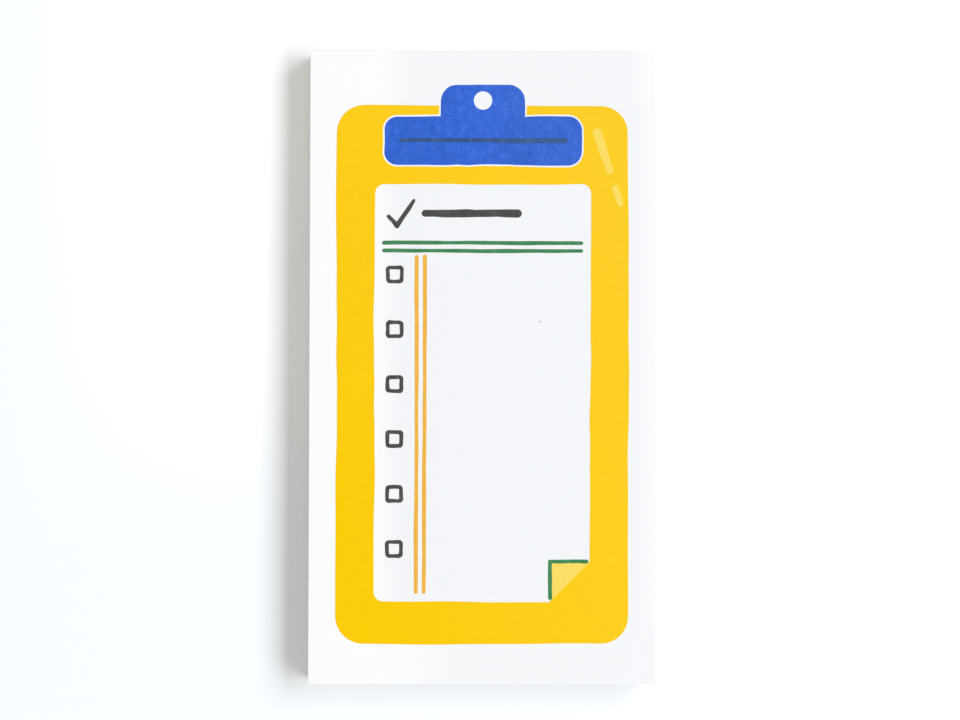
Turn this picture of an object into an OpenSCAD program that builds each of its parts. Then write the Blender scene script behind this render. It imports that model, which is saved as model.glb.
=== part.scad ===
// A tear-off notepad, lying face up with its glued head towards +Y.
// A block of plain sheets and a stiff board are held by a film of padding glue
// along the head. The top sheet is printed as a clipboard holding a note.
// The origin is the middle of the pad's footprint, on the surface it lies on.

/* [Pad] */
// Width of a sheet
sheet_w = 82; // [60:1:120]
// Length of a sheet, from foot to head
sheet_l = 150; // [120:1:220]
// How many sheets the pad holds
sheet_count = 80; // [20:1:150]
// Thickness of one sheet
sheet_t = 0.1; // [0.06:0.01:0.2]
// Thickness of the stiff board under the sheets
board_t = 0.8; // [0.4:0.1:2]
// Thickness of the glue film on the head
glue_t = 0.3; // [0.1:0.05:0.8]

/* [Print] */
// Bare paper left and right of the print
side_margin = 6.4; // [3:0.2:9]
// Bare paper above the print
head_margin = 8; // [4:0.5:14]
// Bare paper below the print
foot_margin = 9.5; // [4:0.5:14]
// Thickness of one layer of ink
ink_t = 0.03; // [0.02:0.01:0.06]
// Bare line left between two inks
ink_gap = 0.4; // [0.2:0.1:0.8]
// How far a hand-drawn edge strays from its true line
drift = 0.25; // [0:0.05:0.4]
// Spacing of the points along a drawn edge
point_pitch = 2.5; // [1:0.5:4]
// How much of its width a tapering stroke loses at its thin end
taper = 0.3; // [0:0.05:0.6]

/* [Printed clip] */
// Width of the clip's bar
bar_w = 47; // [36:1:52]
// Height of the clip's bar
bar_h = 11.5; // [8:0.5:14]
// Corner radius of the clip's bar
bar_r = 3.2; // [1:0.2:4]
// Width of the tab on the bar
tab_w = 20; // [14:1:28]
// Height of the tab above the bar
tab_h = 7.5; // [6:0.5:10]
// Diameter of the hole in the tab
hole_d = 4.4; // [2:0.2:5]
// Length of the crease line along the bar
crease_l = 39; // [24:1:42]
// Width of the crease line
crease_w = 1.2; // [0.5:0.1:2]

/* [Printed board] */
// How far the board's top edge shows above the clip's bar
board_rise = 2.6; // [1:0.2:5]
// Corner radius of the board
board_r = 6.5; // [3:0.5:10]

/* [Printed note] */
// Board that shows left and right of the note
note_side = 9; // [6:0.5:12]
// Board that shows below the note
note_foot = 10; // [6:0.5:16]
// Board that shows between the clip and the note
note_head = 4.6; // [2:0.2:8]
// Corner radius of the note
note_r = 2.2; // [1:0.2:4]
// Size of the note's folded corner
fold = 9.5; // [6:0.5:14]

/* [Rules and marks] */
// Width of a drawn rule
rule_w = 0.9; // [0.5:0.1:1.4]
// Space between the two rules of a pair
rule_gap = 1; // [0.6:0.1:2]
// Height of the note's heading space
heading_h = 14; // [12:0.5:20]
// Width of the note's left margin
margin_w = 10; // [8:0.5:14]
// Length of the stroke that stands for a heading
heading_l = 22; // [12:1:24]
// Width of the stroke that stands for a heading
heading_w = 1.8; // [1:0.1:3]
// Size of the tick in the heading
tick_size = 6; // [4:0.5:7]
// Width of the tick's strokes
tick_w = 1.2; // [0.6:0.1:1.6]
// Side of a tick box
box_side = 4.2; // [3:0.2:5]
// Distance from one tick box to the next
box_pitch = 13; // [8:0.5:20]

/* [Glints] */
// Length of the longer glint on the board
glint_l = 9.5; // [6:0.5:14]
// Width of the longer glint
glint_w = 2.2; // [1.2:0.1:3]
// Length of the shorter glint
spark_l = 3.8; // [2:0.2:6]
// Width of the shorter glint
spark_w = 1.8; // [1:0.1:2.6]
// Board between the two glints, from round end to round end
glint_gap = 2.4; // [1:0.2:4]
// Angle of the glints, from level
glint_angle = 72; // [60:1:85]

/* [Hidden] */

paper_white = "whitesmoke";
grey_board = "darkgray";
glue_white = "ivory";
yellow_ink = "gold";
pale_ink = "khaki";
blue_ink = "royalblue";
navy_ink = "darkslateblue";
green_ink = "seagreen";
orange_ink = "sandybrown";
charcoal_ink = "dimgray";

// Steps of a quarter turn
turn_steps = 8;
// Each wave of a drawn edge: turns, start for one step of the seed, height as a share
waves = [[3, 71, 0.5], [8, 143, 0.3], [17, 29, 0.2]];
// A drawn stroke is up to this share thicker or thinner than its width
swell = 0.14;
// A small mark strays less than a long edge does
mark_drift = drift / 3;
thin_start = [1 - taper, 1];
thin_end = [1, 1 - taper];
$fn = 48;

pad_t = board_t + sheet_count * sheet_t;
pad_l = sheet_l + glue_t;
foot_y = -pad_l / 2;
head_y = foot_y + sheet_l;

print_top = head_y - head_margin;
print_foot = foot_y + foot_margin;

bar_top = print_top - tab_h;
bar_y = bar_top - bar_h / 2;
// The tab runs on behind the bar by its own corner radius
tab_r = tab_h / 2;
tab_y = bar_top + tab_h / 2 - tab_r / 2;
hole_y = bar_top + tab_h / 2;

board_w = sheet_w - 2 * side_margin;
board_top = bar_top + board_rise;
board_l = board_top - print_foot;
board_y = print_foot + board_l / 2;

note_w = board_w - 2 * note_side;
note_top = bar_top - bar_h - note_head;
note_bottom = print_foot + note_foot;
note_l = note_top - note_bottom;
note_left = -note_w / 2;
note_right = note_w / 2;

heading_y = note_top - heading_h;
rule_inset = note_r;
rule_pitch = rule_w + rule_gap;
margin_x = note_left + margin_w;
margin_top = heading_y - rule_pitch - rule_w / 2 - rule_gap;
margin_bottom = note_bottom + rule_inset;
box_x = note_left + (margin_w - rule_w / 2) / 2;
box_first = margin_top - box_side;
box_count = 1 + floor((box_first - box_side / 2 - margin_bottom) / box_pitch);
// The tick's left end is in line with the left sides of the boxes
tick_x = box_x - box_side / 2 + (tick_size + tick_w) / 2;

function turned(p, a) = [p.x * cos(a) - p.y * sin(a), p.x * sin(a) + p.y * cos(a)];

// How far an edge strays at the bearing a, as a slow wave that closes on itself
function stray(a, seed, i = 0) =
  i == len(waves) ? 0
  : waves[i][2] * sin(waves[i][0] * a + waves[i][1] * seed) + stray(a, seed, i + 1);

// Points round a rectangle with round corners, each with the bearing of its normal
function rectangle_spots(w, l, r) = [
  for (side = [0:3])
    let (
      reach = (side % 2 == 0 ? w : l) / 2,
      run = (side % 2 == 0 ? l : w) - 2 * r,
      steps = max(2, ceil(run / point_pitch))
    )
    each concat(
      [for (i = [0:steps - 1])
        [turned([reach, run * (i / steps - 0.5)], 90 * side), 90 * side]],
      [for (i = [0:turn_steps - 1])
        let (a = 90 * i / turn_steps)
        [turned([reach - r + r * cos(a), run / 2 + r * sin(a)], 90 * side), 90 * side + a]]
    )
];

// The same rectangle as a hand draws it
function drawn_rectangle(w, l, r, seed, by = drift) = [
  for (s = rectangle_spots(w, l, r))
    s[0] + by * stray(atan2(s[0].y, s[0].x), seed) * [cos(s[1]), sin(s[1])]
];

// Points round a straight stroke from the origin along +X, with round ends.
// The two ends are given as shares of the stroke's width.
function drawn_stroke(l, w, seed, ends) =
  let (
    steps = max(2, ceil(l / point_pitch)),
    line = [for (i = [0:steps])
      let (
        a = 360 * i / steps,
        half = w / 2 * (ends[0] + (ends[1] - ends[0]) * i / steps)
      )
      [l * i / steps, mark_drift * stray(a / 3, seed), half * (1 + swell * stray(a / 2, seed + 1))]],
    last = line[steps],
    first = line[0]
  )
  concat(
    [for (p = line) [p.x, p.y - p[2]]],
    [for (i = [1:turn_steps - 1])
      let (a = 180 * i / turn_steps - 90) [last.x, last.y] + last[2] * [cos(a), sin(a)]],
    [for (i = [steps:-1:0]) [line[i].x, line[i].y + line[i][2]]],
    [for (i = [1:turn_steps - 1])
      let (a = 180 * i / turn_steps + 90) [first.x, first.y] + first[2] * [cos(a), sin(a)]]
  );

module stroke(from, to, w, seed, ends = [1, 1]) {
  run = to - from;
  translate(from) rotate(atan2(run.y, run.x))
    polygon(drawn_stroke(norm(run), w, seed, ends));
}

// One layer of ink on the top sheet, or on the ink below it
module inked(layer = 0) {
  translate([0, 0, pad_t + layer * ink_t]) linear_extrude(ink_t) children();
}

// Outline of the clip, grown by the bare line that the board's ink leaves round it
module clip_outline(grow = 0) {
  translate([0, bar_y])
    polygon(drawn_rectangle(bar_w + 2 * grow, bar_h + 2 * grow, bar_r + grow, 2));
  translate([0, tab_y])
    polygon(drawn_rectangle(tab_w + 2 * grow, tab_h + tab_r + 2 * grow, tab_r + grow, 3, mark_drift));
}

// The corner triangle of the note that is folded over
module fold_corner() {
  polygon([
    [note_right - fold, note_bottom], [note_right - fold, note_bottom - note_side],
    [note_right + note_side, note_bottom - note_side], [note_right + note_side, note_bottom + fold],
    [note_right, note_bottom + fold]
  ]);
}

// The note before its corner is folded
module flat_note() {
  translate([0, note_bottom + note_l / 2])
    polygon(drawn_rectangle(note_w, note_l, note_r, 5));
}

module note_outline() {
  difference() {
    flat_note();
    fold_corner();
  }
}

// The two edges of the folded flap, drawn as strokes
module flap_lines() {
  inside = [note_right - fold, note_bottom + fold];
  stroke(inside, [note_right - fold, note_bottom + rule_w], rule_w, 7);
  stroke(inside, [note_right - rule_w, note_bottom + fold], rule_w, 8);
}

module heading_rules() {
  for (i = [0:1])
    stroke(
      [note_left + rule_inset, heading_y - i * rule_pitch],
      [note_right - rule_inset, heading_y - i * rule_pitch],
      rule_w, 10 + i
    );
}

module margin_rules() {
  for (i = [0:1])
    stroke(
      [margin_x + i * rule_pitch, margin_top], [margin_x + i * rule_pitch, margin_bottom],
      rule_w, 14 + i
    );
}

// A tick in a square of the given size, its corner at the square's foot
module tick(size, seed) {
  corner = [-size / 6, -size / 2];
  stroke([-size / 2, -size / 8], corner, tick_w, seed, thin_start);
  stroke(corner, [size / 2, size / 2], tick_w, seed + 1, thin_end);
}

module tick_box(seed) {
  difference() {
    polygon(drawn_rectangle(box_side, box_side, rule_w, seed, mark_drift));
    polygon(drawn_rectangle(
      box_side - 2 * rule_w, box_side - 2 * rule_w, rule_w / 3, seed + 1, mark_drift
    ));
  }
}

// The block of sheets, guillotined square
module sheets() {
  color(paper_white) translate([-sheet_w / 2, foot_y, board_t])
    cube([sheet_w, sheet_l, sheet_count * sheet_t]);
}

module backing_board() {
  color(grey_board) translate([-sheet_w / 2, foot_y, 0])
    cube([sheet_w, sheet_l, board_t]);
}

// The film that holds every sheet and the board by the head edge
module glue_strip() {
  color(glue_white) translate([-sheet_w / 2, head_y, 0])
    cube([sheet_w, glue_t, pad_t]);
}

module print_board() {
  color(yellow_ink) inked() difference() {
    translate([0, board_y]) polygon(drawn_rectangle(board_w, board_l, board_r, 1));
    clip_outline(ink_gap);
    note_outline();
  }
}

module print_clip() {
  color(blue_ink) inked() difference() {
    clip_outline();
    translate([0, hole_y]) circle(d = hole_d);
  }
}

// Printed over the clip's ink
module print_clip_crease() {
  color(navy_ink) inked(1)
    stroke([-crease_l / 2, bar_y], [crease_l / 2, bar_y], crease_w, 20, thin_start);
}

// Light streaks printed over the board's ink, at its top right corner
module print_glints() {
  along = turned([1, 0], -glint_angle);
  foot = [board_w / 2 - note_side / 2, board_top - board_r + along.y * glint_l];
  spark = foot + along * ((glint_w + spark_w) / 2 + glint_gap);
  color(pale_ink) inked(1) {
    stroke(foot - along * glint_l, foot, glint_w, 22, thin_end);
    stroke(spark, spark + along * spark_l, spark_w, 23, thin_end);
  }
}

module print_folded_corner() {
  color(pale_ink) inked() difference() {
    intersection() {
      flat_note();
      polygon([
        [note_right - fold, note_bottom], [note_right, note_bottom + fold],
        [note_right - fold, note_bottom + fold]
      ]);
    }
    flap_lines();
  }
}

module print_fold_lines() {
  color(green_ink) inked() flap_lines();
}

module print_heading_rules() {
  color(green_ink) inked() heading_rules();
}

module print_margin_rules() {
  color(orange_ink) inked() margin_rules();
}

module print_marks() {
  color(charcoal_ink) inked() {
    translate([tick_x, heading_y + heading_h / 2]) tick(tick_size, 30);
    stroke(
      [margin_x + rule_pitch, heading_y + heading_h / 2],
      [margin_x + rule_pitch + heading_l, heading_y + heading_h / 2], heading_w, 33
    );
    for (i = [0:box_count - 1])
      translate([box_x, box_first - i * box_pitch]) tick_box(40 + 2 * i);
  }
}

sheets();
backing_board();
glue_strip();
print_board();
print_clip();
print_clip_crease();
print_glints();
print_folded_corner();
print_fold_lines();
print_heading_rules();
print_margin_rules();
print_marks();
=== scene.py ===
"""A tear-off notepad on a white table, seen from straight above.

The block of sheets, the stiff board and the padding glue are modelled here in full. The
printed top sheet keeps its ink solids, and each gets an ink of its own.
"""
import math
import random

import bmesh
import bpy
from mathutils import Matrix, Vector, noise


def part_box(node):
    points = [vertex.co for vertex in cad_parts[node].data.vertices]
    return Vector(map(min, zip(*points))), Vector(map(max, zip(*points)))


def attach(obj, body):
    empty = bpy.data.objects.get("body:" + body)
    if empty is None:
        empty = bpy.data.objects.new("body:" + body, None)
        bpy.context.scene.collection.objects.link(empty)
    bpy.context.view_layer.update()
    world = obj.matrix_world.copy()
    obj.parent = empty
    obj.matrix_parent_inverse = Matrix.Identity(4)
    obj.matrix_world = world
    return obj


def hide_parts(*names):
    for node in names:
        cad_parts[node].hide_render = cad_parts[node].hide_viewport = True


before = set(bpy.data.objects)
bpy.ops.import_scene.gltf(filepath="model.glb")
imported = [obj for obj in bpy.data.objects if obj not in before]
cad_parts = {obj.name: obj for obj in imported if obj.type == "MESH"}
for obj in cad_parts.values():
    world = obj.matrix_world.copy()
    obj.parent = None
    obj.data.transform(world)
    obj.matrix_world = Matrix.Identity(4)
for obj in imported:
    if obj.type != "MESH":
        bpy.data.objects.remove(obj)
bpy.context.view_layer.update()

MM = 0.001
X, Y = 0, 1

# The pad's pieces, as packed
SHEETS_LOW, SHEETS_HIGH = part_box("sheets")
BOARD_LOW, BOARD_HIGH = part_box("backing_board")
GLUE_LOW, GLUE_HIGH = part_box("glue_strip")

# The leaves: how thick each one is, and how many the block holds
SHEET_T = 0.1 * MM
SHEET_COUNT = round((SHEETS_HIGH.z - SHEETS_LOW.z) / SHEET_T)
# Spacing of the points along the pad's edges
EDGE_PITCH = 2.5 * MM

# The camera that shows the top sheet's corners where the photograph does
CAMERA_PLACE = (0.2 * MM, -8.3 * MM, 500 * MM)
CAMERA_TURN = (math.radians(1.138), math.radians(0.088), math.radians(0.14))
CAMERA_LENS = 77.75

# Light that falls from all round
ROOM_LIGHT = (0.47, 0.462, 0.425)
# The window that adds to it from the right: its power in watts, its sides and how far off it is
# in metres, and how high it stands above the table as an angle
WINDOW_HUE = (0.915, 0.93, 1)
WINDOW_POWER = 136.5
WINDOW_LONG = 4.4
WINDOW_TALL = 1.5
WINDOW_AWAY = 3.6
WINDOW_RISE = math.radians(46)


class Wire:
    """A value in a finish. Sums with it add the Math nodes that they need."""

    def __init__(self, nodes, socket):
        self.nodes, self.socket = nodes, socket

    def _math(self, operation, first, second):
        return self.nodes.add("ShaderNodeMath", {"operation": operation}, {0: first, 1: second})

    def __add__(self, other):
        return self._math("ADD", self, other)

    def __radd__(self, other):
        return self._math("ADD", other, self)

    def __sub__(self, other):
        return self._math("SUBTRACT", self, other)

    def __rsub__(self, other):
        return self._math("SUBTRACT", other, self)

    def __mul__(self, other):
        return self._math("MULTIPLY", self, other)

    def __rmul__(self, other):
        return self._math("MULTIPLY", other, self)


class Nodes:
    """A node tree, and the one way that nodes are added to it."""

    def __init__(self, tree):
        self.tree = tree

    def add(self, kind, settings=None, sockets=None, out=0):
        """Adds a node: its settings first, then the values or wires of its sockets."""
        node = self.tree.nodes.new(kind)
        for name, value in (settings or {}).items():
            setattr(node, name, value)
        for name, value in (sockets or {}).items():
            self.feed(node.inputs[name], value)
        return Wire(self, node.outputs[out])

    def feed(self, socket, value):
        """Links a wire to a socket, or sets the number, colour or place that it holds."""
        if isinstance(value, Wire):
            self.tree.links.new(value.socket, socket)
        elif socket.type == "RGBA":
            socket.default_value = (*value, 1)
        else:
            socket.default_value = value

    def seen_plainly(self):
        """1 for what the camera sees, also in a gloss or through glass, and 0 for other rays."""
        seen = self.add("ShaderNodeLightPath", out="Is Camera Ray")
        for kind in ("Is Glossy Ray", "Is Transmission Ray"):
            ray = self.add("ShaderNodeLightPath", out=kind)
            seen = self.add("ShaderNodeMath", {"operation": "MAXIMUM"}, {0: seen, 1: ray})
        return seen


class Finish(Nodes):
    """A material, made of nodes that end in one Principled shader."""

    def __init__(self, name, specular=0.3):
        self.material = bpy.data.materials.new(name)
        self.material.use_nodes = True
        super().__init__(self.material.node_tree)
        self.shader = self.tree.nodes["Principled BSDF"]
        self.shader.inputs["Specular IOR Level"].default_value = specular
        self.place = self.add("ShaderNodeTexCoord", out="Object")

    def set(self, **values):
        """Feeds the shader, with a socket's name written in small letters."""
        for name, value in values.items():
            self.feed(self.shader.inputs[name.replace("_", " ").title()], value)

    def spaced(self, size, offset=(0, 0, 0)):
        """The place on the object, measured in steps of a size for each axis."""
        steps = tuple(1 / s for s in size)
        return self.add(
            "ShaderNodeMapping", {}, {"Vector": self.place, "Scale": steps, "Location": offset}
        )

    def cloud(self, size, detail=2.0, seed=0, stretch=(1, 1, 1)):
        """Noise from 0 to 1 whose lumps are about a size across."""
        spot = self.spaced([size * s for s in stretch], (seed, seed * 0.7, seed * 0.4))
        return self.add("ShaderNodeTexNoise", {}, {"Vector": spot, "Scale": 1.0, "Detail": detail})

    def dots(self, pitch, radius, seed=0):
        """1 in the middle of scattered dots and 0 away from them."""
        spot = self.spaced([pitch] * 3, (seed, seed * 0.6, 0))
        away = self.add("ShaderNodeTexVoronoi", {}, {"Vector": spot, "Scale": 1.0}, out="Distance")
        return self.ramp(away, radius / pitch, 0)

    def ramp(self, value, low, high, at_low=0.0, at_high=1.0):
        """A value eased from one level at low to another at high, whichever way they lie."""
        if low > high:
            low, high, at_low, at_high = high, low, at_high, at_low
        return self.add(
            "ShaderNodeMapRange", {"interpolation_type": "SMOOTHSTEP"},
            {0: value, 1: low, 2: high, 3: at_low, 4: at_high},
        )

    def mix(self, first, second, share):
        """A colour between two."""
        return self.add(
            "ShaderNodeMix", {"data_type": "RGBA"}, {0: share, 6: first, 7: second}, out=2
        )

    def scaled(self, colour, by):
        """A colour made lighter or darker by a value."""
        return self.add(
            "ShaderNodeVectorMath", {"operation": "SCALE"}, {"Vector": colour, "Scale": by}
        )

    def along(self, axis):
        """Where a point lies along X, Y or Z."""
        return self.add("ShaderNodeSeparateXYZ", {}, {0: self.place}, out=axis)

    def away(self, spot):
        """How far a point lies from a spot."""
        apart = self.add("ShaderNodeVectorMath", {"operation": "SUBTRACT"}, {0: self.place, 1: spot})
        return self.add("ShaderNodeVectorMath", {"operation": "LENGTH"}, {0: apart}, out="Value")

    def bump(self, relief, depth):
        """Tilts the surface as a relief from 0 to 1 that is a depth high would."""
        self.set(normal=self.add("ShaderNodeBump", {}, {"Height": relief, "Distance": depth}))


# The paper: its face with painted light, paler down its sides, head and foot; its cut edges with
# painted shade; and the one dark fleck in the top sheet
PAPER = (0.878, 0.895, 0.911)
PAPER_WITH_PAINTED_LIGHT = (0.942, 0.956, 0.966)
# The cut edges' white, darkened as painted shade of the light lost between leaves
CUT_EDGE_WITH_PAINTED_SHADE = (0.79, 0.795, 0.785)
FLECK = (0.16, 0.13, 0.1)
FLECK_SPOT = (13.7 * MM, 10.6 * MM, SHEETS_HIGH.z)
FLECK_RADIUS = 0.22 * MM

# Where the painted light down the sheet's left side starts to fade, and over how much of the width
# it does so
PAINTED_LIGHT_SIDE_X = -26 * MM
PAINTED_LIGHT_FADE = 7 * MM
PAINTED_LIGHT_FADE_AT_HEAD = 12 * MM
PAINTED_LIGHT_FADE_AT_FOOT = 27 * MM

# The grey board, its pale threads and its dark flecks
GREY_BOARD = (0.36, 0.34, 0.305)
PALE_THREAD = (0.56, 0.54, 0.49)
DARK_FLECK = (0.1, 0.095, 0.09)

# The glue over the leaves, and where the board shows through it
MILKY_GLUE = (0.84, 0.83, 0.775)
GLUE_OVER_BOARD = (0.5, 0.48, 0.43)

# The table's white beside the pad; with painted light by its head; with painted shade by its foot
# and on the far left; and with painted light close below the foot edge, which takes away most of the
# pad's shade there
TABLE_WHITE = (0.93, 0.945, 0.955)
TABLE_PAINTED_LIGHT_AT_HEAD = (0.985, 0.99, 0.995)
TABLE_PAINTED_SHADE_AT_FOOT = (0.828, 0.855, 0.884)
TABLE_PAINTED_LIGHT_UNDER_FOOT = (0.955, 0.975, 0.99)
# What the table's own glow adds to the picture next to the pad, so that it is as white there
TABLE_GLOW = 0.13
# How far from the middle of the pad, in metres, the table starts to turn plain white and ends
PLAIN_FROM = 0.2
PLAIN_TO = 0.9
# How far the table reaches from its middle, in metres
TABLE_REACH = 20


def paper_grain(finish):
    """The faint relief of an uncoated sheet, from 0 to 1."""
    return finish.cloud(0.22 * MM, detail=4, seed=3) * 0.6 + finish.cloud(0.9 * MM, seed=5) * 0.4


def paper_tone_and_painted_light(finish):
    """The sheet's white with painted light, palest down its left side and paler at its right edge,
    head and foot; cloudy where the pulp is thinner.
    """
    foot = finish.ramp(finish.along("Y"), -56 * MM, -66 * MM)
    head = finish.ramp(finish.along("Y"), 58 * MM, 66 * MM)
    steep = 1 / PAINTED_LIGHT_FADE
    steep = steep - head * (1 / PAINTED_LIGHT_FADE - 1 / PAINTED_LIGHT_FADE_AT_HEAD)
    steep = steep - foot * (1 / PAINTED_LIGHT_FADE - 1 / PAINTED_LIGHT_FADE_AT_FOOT)
    left = finish.ramp((finish.along("X") - PAINTED_LIGHT_SIDE_X) * steep, 1, 0)
    right = finish.ramp(finish.along("X"), 35 * MM, 40 * MM) * (1 - foot)
    # Painted light: the sheet is lighter down its left side and towards its right edge, head and
    # foot
    pale = left + right * 0.5 + (head + foot) * (1 - left) * 0.2
    pulp = finish.cloud(3.2 * MM, detail=4, seed=9)
    threads = finish.cloud(0.5 * MM, detail=5, seed=12, stretch=(1, 3, 1))
    shade = 1 - (pulp - 0.5) * 0.01 - (threads - 0.5) * 0.014
    return finish.scaled(finish.mix(PAPER, PAPER_WITH_PAINTED_LIGHT, pale), shade)


def paper_finish():
    """Uncoated paper: the top sheet's face, and the cut edges of the leaves below it."""
    finish = Finish("uncoated_paper", specular=0.15)
    speck = finish.ramp(finish.away(FLECK_SPOT), FLECK_RADIUS, FLECK_RADIUS * 0.45)
    tone = finish.mix(paper_tone_and_painted_light(finish), FLECK, speck)

    # Below the top sheet's face the cut edges show, darkened as painted shade of the gaps between
    # leaves, each leaf a tone of its own
    cut = finish.ramp(finish.along("Z"), SHEETS_HIGH.z - 0.005 * MM, SHEETS_HIGH.z - 0.02 * MM)
    leaf = finish.cloud(SHEET_T * 1.6, detail=2, seed=21, stretch=(160, 160, 1))
    batch = finish.cloud(SHEET_T * 7, detail=2, seed=23, stretch=(60, 60, 1))
    blade = finish.cloud(0.35 * MM, detail=2, seed=27, stretch=(1, 1, 40))
    shade = 1 - (leaf - 0.4) * 0.42 - (batch - 0.5) * 0.2 - (blade - 0.5) * 0.06
    edge = finish.scaled(CUT_EDGE_WITH_PAINTED_SHADE, shade)
    finish.set(base_color=finish.mix(tone, edge, cut))
    finish.set(roughness=0.82 + (paper_grain(finish) - 0.5) * 0.12)
    finish.bump(paper_grain(finish) * 0.5 + leaf * cut * 0.5, 0.02 * MM)
    return finish.material


def ink_finish(name, colour, uneven=1.0, grain=0.0, blots=0.0, specks=0.0, thin=0.0, seed=0):
    """Ink that has sunk into the top sheet.

    uneven says how much the ink's depth varies, and grain and blots how much paper shows
    through in fine and in broad patches. specks is how strong the scattered pale and dark
    dots are, and thin how much paper shows all over, more of it towards the head and the right.
    """
    finish = Finish(name, specular=0.06)
    fine = finish.cloud(0.3 * MM, detail=4, seed=seed + 1, stretch=(1, 1.6, 1))
    broad = finish.cloud(1.5 * MM, detail=3, seed=seed + 2, stretch=(1, 1.5, 1))
    bed = finish.cloud(14 * MM, detail=1, seed=seed + 4)
    bare = finish.ramp(fine, 0.5, 0.8) * grain + finish.ramp(broad, 0.5, 0.75) * blots
    depth = (fine - 0.5) * 0.45 + (broad - 0.5) * 0.22 + (bed - 0.5) * 0.1
    if specks:
        bare = bare + finish.dots(0.85 * MM, 0.2 * MM, seed) * specks
        depth = depth - finish.dots(1.2 * MM, 0.26 * MM, seed + 5) * specks * 3
    if thin:
        lean = finish.along("X") * (1 / (50 * MM)) + finish.along("Y") * (1 / (130 * MM))
        bare = bare + (1 + lean) * thin
    sunk = finish.scaled(colour, 1 + depth * uneven)
    finish.set(base_color=finish.mix(sunk, paper_tone_and_painted_light(finish), bare))
    finish.set(roughness=0.74 + (fine - 0.5) * 0.16)
    finish.bump(paper_grain(finish), 0.015 * MM)
    return finish.material


def board_finish():
    """Grey board of waste paper: matted fibres, pale threads and dark flecks."""
    finish = Finish("grey_board", specular=0.25)
    mat = finish.cloud(0.45 * MM, detail=6, seed=31)
    drift = finish.cloud(7 * MM, detail=3, seed=33)
    pale = finish.ramp(finish.cloud(0.9 * MM, detail=5, seed=35, stretch=(1, 2.5, 1)), 0.56, 0.74)
    dark = finish.dots(1.9 * MM, 0.28 * MM, seed=37)
    shade = 1 + (mat - 0.5) * 0.5 + (drift - 0.5) * 0.25
    tone = finish.scaled(GREY_BOARD, shade)
    tone = finish.mix(tone, PALE_THREAD, pale * 0.5)
    tone = finish.mix(tone, DARK_FLECK, dark * 0.55)
    finish.set(base_color=tone)
    finish.set(roughness=0.88 + (mat - 0.5) * 0.15)
    finish.bump(mat * 0.7 + pale * 0.3, 0.05 * MM)
    return finish.material


def glue_finish():
    """Padding glue: a milky rubbery film that lets the board and the leaves show through."""
    finish = Finish("padding_glue", specular=0.5)
    streaks = finish.cloud(0.35 * MM, detail=4, seed=41, stretch=(30, 1, 1))
    thick = finish.cloud(5 * MM, detail=3, seed=43, stretch=(2, 1, 1))
    leaves = finish.cloud(SHEET_T * 1.6, detail=1, seed=45, stretch=(160, 1, 1))
    milk = finish.scaled(MILKY_GLUE, 1 - (leaves - 0.4) * 0.16 - (thick - 0.5) * 0.1)
    over_board = finish.ramp(finish.along("Z"), BOARD_HIGH.z + 0.05 * MM, BOARD_HIGH.z - 0.1 * MM)
    finish.set(base_color=finish.mix(milk, GLUE_OVER_BOARD, over_board * 0.75))
    finish.set(roughness=0.3 + streaks * 0.16)
    finish.bump(streaks * 0.7 + leaves * 0.3, 0.03 * MM)
    return finish.material


def table_finish():
    """Matte white, with painted light by the head and close below the foot edge and painted shade
    towards the foot and far left. To the camera it turns plain white away from the pad, like the
    backdrop.
    """
    finish = Finish("white_table", specular=0.1)
    across, along = finish.along("X"), finish.along("Y")
    # Painted light by the head and close below the foot edge, where it takes away most of the pad's
    # shade; painted shade towards the foot and far left
    near_head = finish.ramp(along, 20 * MM, 60 * MM)
    near_foot = finish.ramp(along, 20 * MM, -50 * MM)
    far_left = finish.ramp(across, -55 * MM, -125 * MM)
    painted_dimming = near_foot + far_left * (1 - near_foot)
    under_foot = finish.ramp(along, SHEETS_LOW.y - 5 * MM, SHEETS_LOW.y + 0.5 * MM)
    under_foot = under_foot * finish.ramp(across, SHEETS_LOW.x - 7 * MM, SHEETS_LOW.x + 3 * MM)
    under_foot = under_foot * finish.ramp(across, SHEETS_HIGH.x + 3 * MM, SHEETS_HIGH.x - 3 * MM)
    tone = finish.mix(TABLE_WHITE, TABLE_PAINTED_LIGHT_AT_HEAD, near_head)
    tone = finish.mix(tone, TABLE_PAINTED_SHADE_AT_FOOT, painted_dimming)
    finish.set(base_color=finish.mix(tone, TABLE_PAINTED_LIGHT_UNDER_FOOT, under_foot * 0.75))
    finish.set(roughness=0.9)
    lit = Wire(finish, finish.shader.outputs[0])
    glow = finish.add("ShaderNodeEmission", {}, {"Color": (1, 1, 1), "Strength": TABLE_GLOW})
    near = finish.add("ShaderNodeAddShader", {}, {0: lit, 1: glow})
    white = finish.add("ShaderNodeEmission", {}, {"Color": (1, 1, 1), "Strength": 1.0})
    far = finish.ramp(finish.away((0, 0, 0)), PLAIN_FROM, PLAIN_TO)
    seen = finish.add("ShaderNodeMixShader", {}, {0: far, 1: near, 2: white})
    shown = finish.add("ShaderNodeMixShader", {}, {0: finish.seen_plainly(), 1: lit, 2: seen})
    finish.feed(finish.tree.nodes["Material Output"].inputs["Surface"], shown)
    return finish.material


def cut_block(cuts):
    """A block one across, centred on the origin, with each of its edges cut evenly."""
    bm = bmesh.new()
    bmesh.ops.create_cube(bm, size=1)
    for axis, count in enumerate(cuts):
        along = [e for e in bm.edges if abs((e.verts[1].co - e.verts[0].co)[axis]) > 0.999]
        bmesh.ops.subdivide_edges(bm, edges=along, cuts=count, use_grid_fill=True)
    return bm


def placed(spot, low, high):
    """Where a point of the block one across falls between two corners."""
    return Vector(low[i] + (spot[i] + 0.5) * (high[i] - low[i]) for i in range(3))


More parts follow.
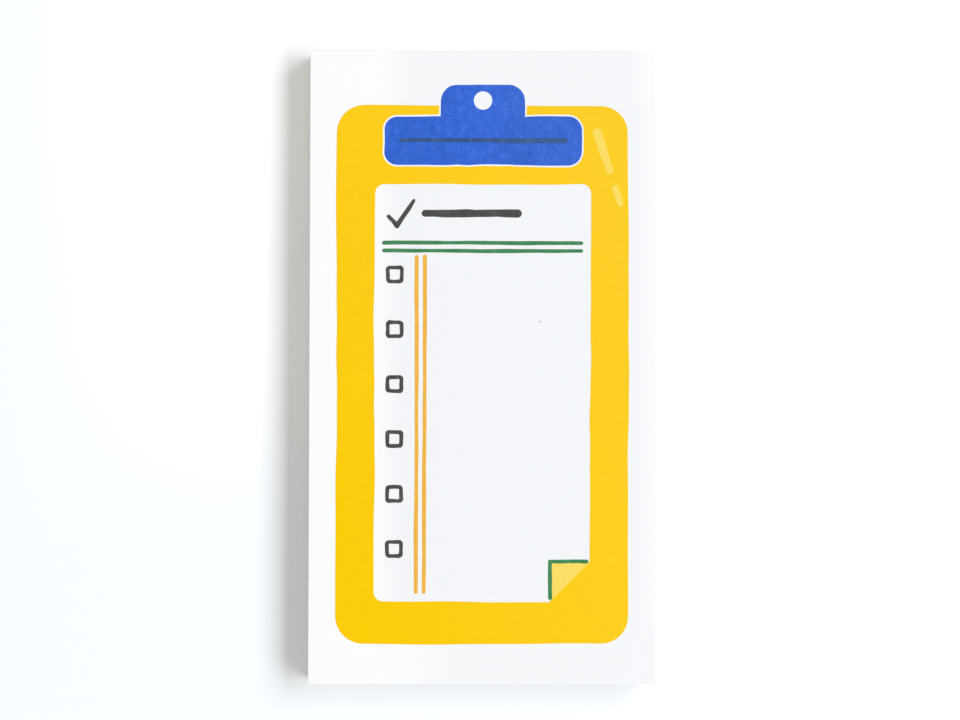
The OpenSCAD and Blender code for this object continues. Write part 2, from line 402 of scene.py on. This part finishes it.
def keep_piece(bm, name, material, node):
    """Makes a piece of a finished mesh, in the place of a CAD node."""
    bmesh.ops.recalc_face_normals(bm, faces=bm.faces)
    mesh = bpy.data.meshes.new(name)
    bm.to_mesh(mesh)
    bm.free()
    mesh.materials.append(material)
    piece = bpy.data.objects.new(name, mesh)
    bpy.context.scene.collection.objects.link(piece)
    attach(piece, "root")
    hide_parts(node)
    return piece


def eased(value, low, high):
    """How far a number lies from low to high, from 0 to 1, with soft ends."""
    share = min(1, max(0, (value - low) / (high - low)))
    return share * share * (3 - 2 * share)


def make_sheets():
    """The block of leaves. Each has a lip of its own, and each joint between two is a groove."""
    draw = random.Random(11)
    lip = 0.14 * SHEET_T
    # How far the leaves can part at each joint, how far each stands back, and how each is turned
    parting = [draw.uniform(0.5, 1) if draw.random() < 0.3 else 0 for _ in range(SHEET_COUNT)]
    stands_back = [draw.uniform(0, 0.02) * MM for _ in range(SHEET_COUNT)]
    turn = [noise.noise(Vector((k * 0.21, 4.2, 0))) * 0.0006 for k in range(SHEET_COUNT)]
    for k in draw.sample(range(SHEET_COUNT - 4), 7):
        turn[k] += draw.uniform(-0.0007, 0.0007)
    stands_back[-1] = 0
    turn[-1] = 0

    def opening(spot, joint):
        """How open a joint is at a spot, from 0 to 1. The glue shuts it towards the head."""
        if not 0 <= joint < SHEET_COUNT - 1:
            return 0
        wave = noise.noise(Vector((spot.x / (17 * MM), spot.y / (17 * MM), joint * 1.7)))
        loose = eased(SHEETS_HIGH.y - spot.y, 4 * MM, 60 * MM)
        return parting[joint] * loose * eased(wave, -0.15, 0.45)

    size = SHEETS_HIGH - SHEETS_LOW
    # Each leaf has a ring of points low and high on its edge, and each joint one deep inside
    rings = 3 * SHEET_COUNT - 1
    bm = cut_block((round(size.x / EDGE_PITCH), round(size.y / EDGE_PITCH), rings - 2))
    for vert in bm.verts:
        ring = round((vert.co.z + 0.5) * (rings - 1))
        leaf, part = divmod(ring, 3)
        side = Vector((round(vert.co.x / 0.5, 4), round(vert.co.y / 0.5, 4), 0))
        spot = placed(vert.co, SHEETS_LOW, SHEETS_HIGH)
        floor = SHEETS_LOW.z + leaf * SHEET_T
        if part == 0:
            spot.z = floor + (lip * (1 + 2 * opening(spot, leaf - 1)) if leaf else 0)
            inset = stands_back[leaf]
            slant = turn[leaf]
        elif part == 1:
            top = leaf == SHEET_COUNT - 1
            spot.z = floor + SHEET_T - (0 if top else lip * (1 + 2 * opening(spot, leaf)))
            inset = stands_back[leaf]
            slant = turn[leaf]
        else:
            spot.z = floor + SHEET_T
            inset = max(stands_back[leaf:leaf + 2]) + (0.03 + 0.3 * opening(spot, leaf)) * MM
            slant = (turn[leaf] + turn[leaf + 1]) / 2
        for axis in (X, Y):
            if abs(side[axis]) == 1:
                spot[axis] -= math.copysign(inset, side[axis])
        spot.x += slant * (SHEETS_HIGH.y - spot.y)
        vert.co = spot
    return keep_piece(bm, "pad_sheets", paper_finish(), "sheets")


def make_board():
    """The stiff board, its edges squeezed by the blade and a little furry."""
    levels = [0, 0.07, 0.27, 0.53, 0.73, 0.8]
    insets = [0.07, 0.01, 0.03, 0.02, 0.0, 0.03]
    size = BOARD_HIGH - BOARD_LOW
    pitch = EDGE_PITCH / 2
    cuts = (round(size.x / pitch), round(size.y / pitch), len(levels) - 2)
    bm = cut_block(cuts)
    for vert in bm.verts:
        ring = round((vert.co.z + 0.5) * (len(levels) - 1))
        side = (abs(vert.co.x) > 0.4999, abs(vert.co.y) > 0.4999)
        spot = placed(vert.co, BOARD_LOW, BOARD_HIGH)
        spot.z = BOARD_LOW.z + levels[ring] / levels[-1] * size.z
        fur = noise.noise(Vector((spot.x / MM, spot.y / MM, ring * 3.1))) * 0.02
        for axis in (X, Y):
            if side[axis]:
                spot[axis] -= math.copysign((insets[ring] + 0.02 + fur) * MM, spot[axis])
        vert.co = spot
    return keep_piece(bm, "pad_board", board_finish(), "backing_board")


def make_glue():
    """The film of padding glue, brushed along the head edge."""
    size = GLUE_HIGH - GLUE_LOW
    bm = cut_block((round(size.x / (0.8 * MM)), 0, round(size.z / (0.2 * MM))))
    for vert in bm.verts:
        spot = placed(vert.co, GLUE_LOW, GLUE_HIGH)
        if vert.co.y > 0:
            ends = eased(min(spot.z - GLUE_LOW.z, GLUE_HIGH.z - spot.z), 0, 0.5 * MM)
            coat = noise.noise(Vector((spot.x / (7 * MM), 0, spot.z / (1.8 * MM))))
            brush = noise.noise(Vector((spot.x / (11 * MM), 5, spot.z / (0.45 * MM))))
            thick = (0.17 + 0.06 * coat + 0.035 * brush) * MM
            spot.y = GLUE_LOW.y + thick * (0.35 + 0.65 * ends)
        vert.co = spot
    return keep_piece(bm, "pad_glue", glue_finish(), "glue_strip")


def ink_the_print():
    """Each ink of the top sheet, on the solids that hold its shapes."""
    pale = ink_finish("pale_yellow_ink", (0.935, 0.71, 0.122), uneven=0.3, grain=0.02, seed=90)
    green = ink_finish(
        "green_ink", (0.053, 0.232, 0.093), uneven=1.6, grain=0.05, blots=0.03, seed=100
    )
    inks = {
        "print_board": ink_finish(
            "yellow_ink", (0.955, 0.595, 0.0), uneven=0.25, thin=0.0105, seed=60
        ),
        "print_clip": ink_finish(
            "blue_ink", (0.023, 0.12, 0.625), uneven=2.1, grain=0.025, blots=0.018, specks=0.1,
            thin=0.012, seed=70
        ),
        "print_clip_crease": ink_finish(
            "navy_ink", (0.044, 0.1, 0.253), uneven=3, grain=0.03, blots=0.02, specks=0.1, seed=80
        ),
        "print_glints": pale,
        "print_folded_corner": pale,
        "print_fold_lines": green,
        "print_heading_rules": green,
        "print_margin_rules": ink_finish(
            "orange_ink", (0.868, 0.458, 0.055), uneven=0.8, grain=0.04, blots=0.03, seed=110
        ),
        "print_marks": ink_finish(
            "charcoal_ink", (0.073, 0.073, 0.069), uneven=2, grain=0.03, blots=0.02, specks=0.06,
            seed=120
        ),
    }
    for node, ink in inks.items():
        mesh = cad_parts[node].data
        mesh.materials.clear()
        mesh.materials.append(ink)


def lay_table():
    """The white table, far wider than any view of the pad."""
    bm = bmesh.new()
    bmesh.ops.create_grid(bm, x_segments=8, y_segments=8, size=TABLE_REACH)
    mesh = bpy.data.meshes.new("table")
    bm.to_mesh(mesh)
    bm.free()
    mesh.materials.append(table_finish())
    table = bpy.data.objects.new("table", mesh)
    bpy.context.scene.collection.objects.link(table)


def light_the_room():
    """Even light from all round, with a white backdrop behind everything."""
    world = bpy.data.worlds.new("room")
    world.use_nodes = True
    nodes = Nodes(world.node_tree)
    nodes.tree.nodes.remove(nodes.tree.nodes["Background"])
    room = nodes.add("ShaderNodeBackground", {}, {"Color": ROOM_LIGHT})
    backdrop = nodes.add("ShaderNodeBackground", {}, {"Color": (1, 1, 1)})
    shown = nodes.add("ShaderNodeMixShader", {}, {0: nodes.seen_plainly(), 1: room, 2: backdrop})
    nodes.feed(nodes.tree.nodes["World Output"].inputs["Surface"], shown)
    bpy.context.scene.world = world


def hang_window():
    """A large soft light on the right, like a wide window high in a wall."""
    lamp = bpy.data.lights.new("window", "AREA")
    lamp.shape = "RECTANGLE"
    lamp.size = WINDOW_LONG
    lamp.size_y = WINDOW_TALL
    lamp.energy = WINDOW_POWER
    lamp.color = WINDOW_HUE
    window = bpy.data.objects.new("window", lamp)
    window.location = (WINDOW_AWAY * math.cos(WINDOW_RISE), 0, WINDOW_AWAY * math.sin(WINDOW_RISE))
    window.rotation_euler = (-window.location).to_track_quat("-Z", "Y").to_euler()
    bpy.context.scene.collection.objects.link(window)


def set_camera():
    """The camera, straight above the pad."""
    lens = bpy.data.cameras.new("camera")
    lens.lens = CAMERA_LENS
    camera = bpy.data.objects.new("camera", lens)
    camera.location = CAMERA_PLACE
    camera.rotation_euler = CAMERA_TURN
    bpy.context.scene.collection.objects.link(camera)
    bpy.context.scene.camera = camera


bpy.context.scene.view_settings.view_transform = "Standard"
set_camera()
light_the_room()
hang_window()
lay_table()
make_sheets()
make_board()
make_glue()
ink_the_print()
